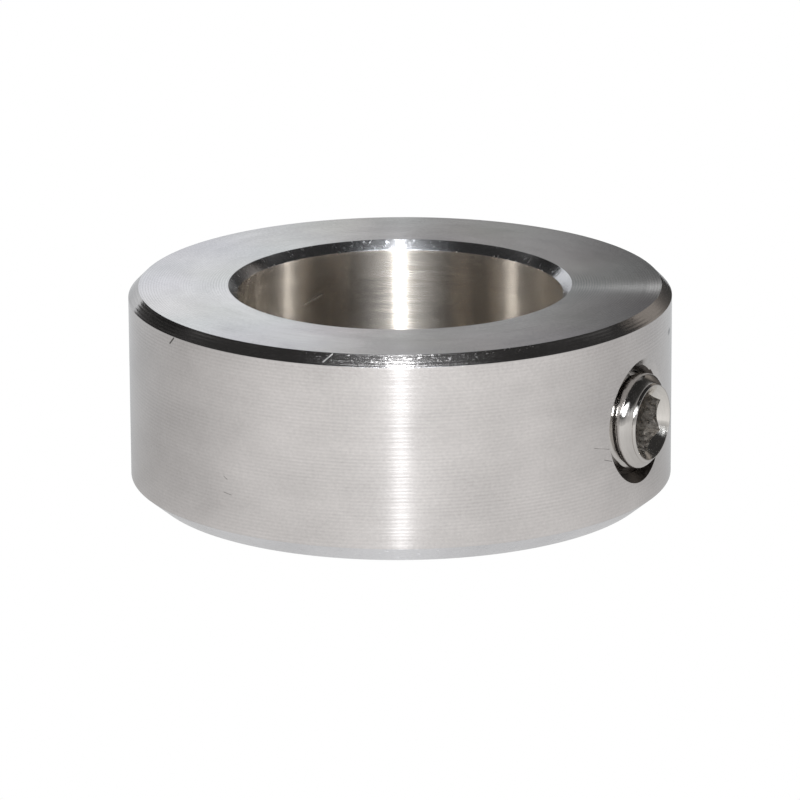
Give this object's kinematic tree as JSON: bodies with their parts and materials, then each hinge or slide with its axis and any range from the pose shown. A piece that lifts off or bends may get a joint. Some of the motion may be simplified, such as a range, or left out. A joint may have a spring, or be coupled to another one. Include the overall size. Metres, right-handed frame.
{
  "type": "shaft collar",
  "caption": "Solid round shaft collar with a plain bore and a radial hexagon socket set screw that turns in to grip the shaft.",
  "frame": {"origin": "centre of the shaft bore at the middle of the collar's width", "axes": "+Z along the bore axis towards the face with the small outer chamfer, +X along the set screw's axis towards its socket"},
  "size_m": [0.041, 0.04, 0.0154],
  "materials": {
    "ring_steel": "fine turned stainless steel, bright, with concentric tool marks",
    "screw_steel": "smooth bright stainless steel"
  },
  "bodies": {
    "collar_ring": {"collar_ring": "ring_steel"},
    "set_screw": {"set_screw": "screw_steel"}
  },
  "joints": [
    {"name": "screw_feed", "type": "slide", "parent": "collar_ring", "child": "set_screw", "axis": [-1, 0, 0], "range_m": [-0.00375, 0.0025]}
  ]
}
